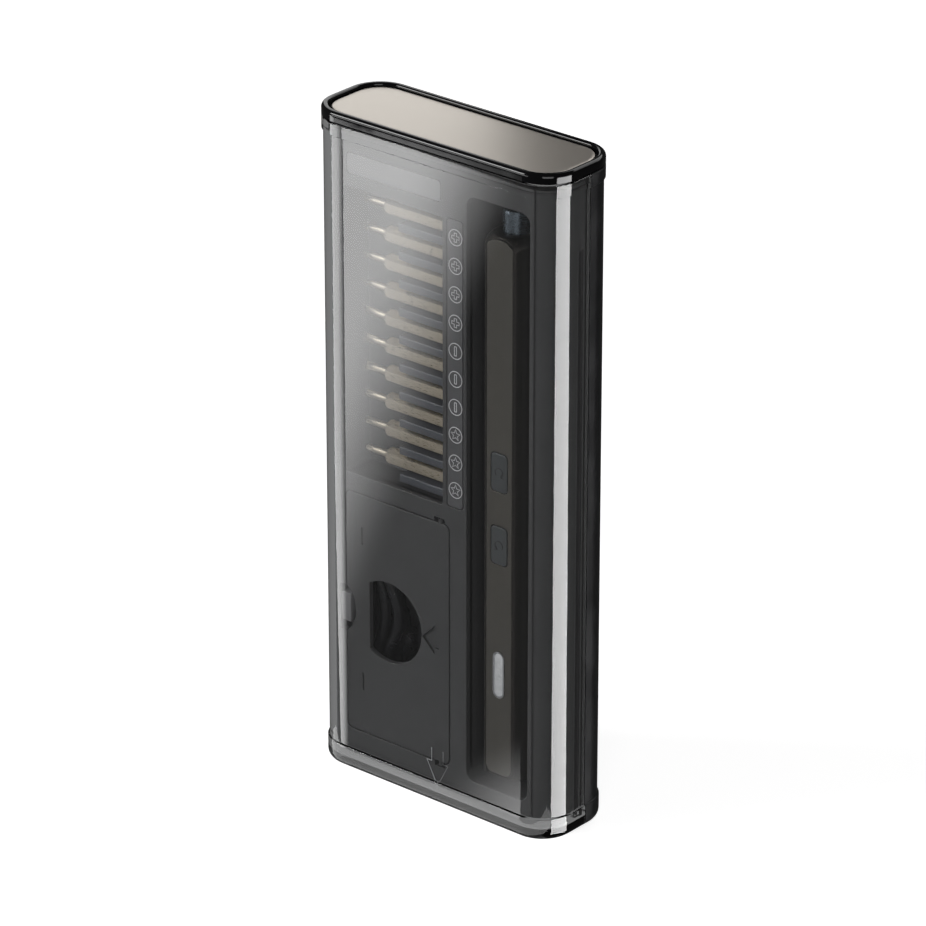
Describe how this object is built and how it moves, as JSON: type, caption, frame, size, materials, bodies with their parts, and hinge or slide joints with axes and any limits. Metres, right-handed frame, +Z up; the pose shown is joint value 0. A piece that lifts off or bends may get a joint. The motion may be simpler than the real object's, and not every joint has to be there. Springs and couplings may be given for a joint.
{
  "type": "precision screwdriver set",
  "caption": "Slim upright case with a clear sliding front cover, holding a pen-shaped motor screwdriver, a rack of small bits and a lidded bay for its charging lead.",
  "frame": {"origin": "centre of the case's base, on the surface that it stands on", "axes": "+Z up along the case's height, -Y out of the clear front, +X towards the pen's side of the case"},
  "size_m": [0.074, 0.025, 0.17],
  "materials": {
    "clear_plastic": "clear, polished, glass-like",
    "black_shell": "black, fine satin",
    "gloss_black": "black, high gloss",
    "champagne_metal": "champagne, satin anodised",
    "tray_plastic": "dark grey, fine satin",
    "rack_plastic": "blue-grey, satin",
    "strip_plastic": "dark grey with pale printed symbols",
    "pad_plastic": "mid grey, satin",
    "bit_steel": "champagne-plated tool steel, satin",
    "pen_body": "black-brown anodised, satin",
    "gunmetal": "gunmetal bronze, satin anodised",
    "button_plastic": "dark grey, satin",
    "chrome_trim": "polished",
    "frosted_lens": "frosted, translucent",
    "chuck_steel": "blue-grey, turned",
    "cord_jacket": "black, soft satin",
    "plug_steel": "nickel-plated",
    "can_steel": "plain",
    "cell_wrap": "blue shrink wrap",
    "board": "green solder mask",
    "bronze": "sintered bronze"
  },
  "bodies": {
    "case": {"rear_shell": "black_shell", "top_rim": "gloss_black", "top_plate": "champagne_metal", "inner_tray": "tray_plastic", "bit_rack": "rack_plastic", "icon_strip": "strip_plastic", "label_pad": "pad_plastic", "cable_lid": "tray_plastic", "cable_coil": "cord_jacket", "cable_tail_large": "cord_jacket", "cable_tail_small": "cord_jacket", "plug_large_grip": "cord_jacket", "plug_large_shell": "plug_steel", "plug_small_grip": "cord_jacket", "plug_small_shell": "plug_steel", "pen_housing": "pen_body", "pen_faceplate": "gunmetal", "switch_forward": "can_steel", "switch_reverse": "can_steel", "indicator_ring": "chrome_trim", "indicator_lens": "frosted_lens", "circuit_board": "board", "battery_cell": "cell_wrap", "motor": "can_steel", "gearbox": "can_steel", "front_bushing": "bronze", "charging_socket": "can_steel", "tail_cap": "pen_body"},
    "cover": {"clear_cover": "clear_plastic"},
    "latch": {"lid_latch": "pad_plastic"},
    "button_forward": {"button_forward": "button_plastic"},
    "button_reverse": {"button_reverse": "button_plastic"},
    "chuck": {"chuck": "chuck_steel", "chuck_magnet": "can_steel", "output_shaft": "chuck_steel"},
    "bit_cross_1": {"bit_cross_1": "bit_steel"},
    "bit_cross_2": {"bit_cross_2": "bit_steel"},
    "bit_cross_3": {"bit_cross_3": "bit_steel"},
    "bit_cross_4": {"bit_cross_4": "bit_steel"},
    "bit_slot_1": {"bit_slot_1": "bit_steel"},
    "bit_slot_2": {"bit_slot_2": "bit_steel"},
    "bit_slot_3": {"bit_slot_3": "bit_steel"},
    "bit_star_1": {"bit_star_1": "bit_steel"},
    "bit_star_2": {"bit_star_2": "bit_steel"},
    "bit_star_3": {"bit_star_3": "bit_steel"}
  },
  "joints": [
    {"name": "cover_slide", "type": "slide", "parent": "case", "child": "cover", "axis": [0, 0, -1], "range_m": [0, 0.168]},
    {"name": "chuck_spin", "type": "hinge", "parent": "case", "child": "chuck", "pos_m": [0.0204, -0.0041, 0.15], "axis": [0, 0, 1], "continuous": true},
    {"name": "button_forward_press", "type": "slide", "parent": "case", "child": "button_forward", "axis": [0, 1, 0], "range_m": [0, 0.0004], "stiffness_N_per_m": 1000},
    {"name": "button_reverse_press", "type": "slide", "parent": "case", "child": "button_reverse", "axis": [0, 1, 0], "range_m": [0, 0.0004], "stiffness_N_per_m": 1000},
    {"name": "latch_press", "type": "slide", "parent": "case", "child": "latch", "axis": [1, 0, 0], "range_m": [0, 0.0007], "stiffness_N_per_m": 1000},
    {"name": "bit_cross_1_lift", "type": "slide", "parent": "case", "child": "bit_cross_1", "axis": [0, -1, 0], "range_m": [0, 0.0035]},
    {"name": "bit_cross_2_lift", "type": "slide", "parent": "case", "child": "bit_cross_2", "axis": [0, -1, 0], "range_m": [0, 0.0035]},
    {"name": "bit_cross_3_lift", "type": "slide", "parent": "case", "child": "bit_cross_3", "axis": [0, -1, 0], "range_m": [0, 0.0035]},
    {"name": "bit_cross_4_lift", "type": "slide", "parent": "case", "child": "bit_cross_4", "axis": [0, -1, 0], "range_m": [0, 0.0035]},
    {"name": "bit_slot_1_lift", "type": "slide", "parent": "case", "child": "bit_slot_1", "axis": [0, -1, 0], "range_m": [0, 0.0035]},
    {"name": "bit_slot_2_lift", "type": "slide", "parent": "case", "child": "bit_slot_2", "axis": [0, -1, 0], "range_m": [0, 0.0035]},
    {"name": "bit_slot_3_lift", "type": "slide", "parent": "case", "child": "bit_slot_3", "axis": [0, -1, 0], "range_m": [0, 0.0035]},
    {"name": "bit_star_1_lift", "type": "slide", "parent": "case", "child": "bit_star_1", "axis": [0, -1, 0], "range_m": [0, 0.0035]},
    {"name": "bit_star_2_lift", "type": "slide", "parent": "case", "child": "bit_star_2", "axis": [0, -1, 0], "range_m": [0, 0.0035]},
    {"name": "bit_star_3_lift", "type": "slide", "parent": "case", "child": "bit_star_3", "axis": [0, -1, 0], "range_m": [0, 0.0035]}
  ]
}
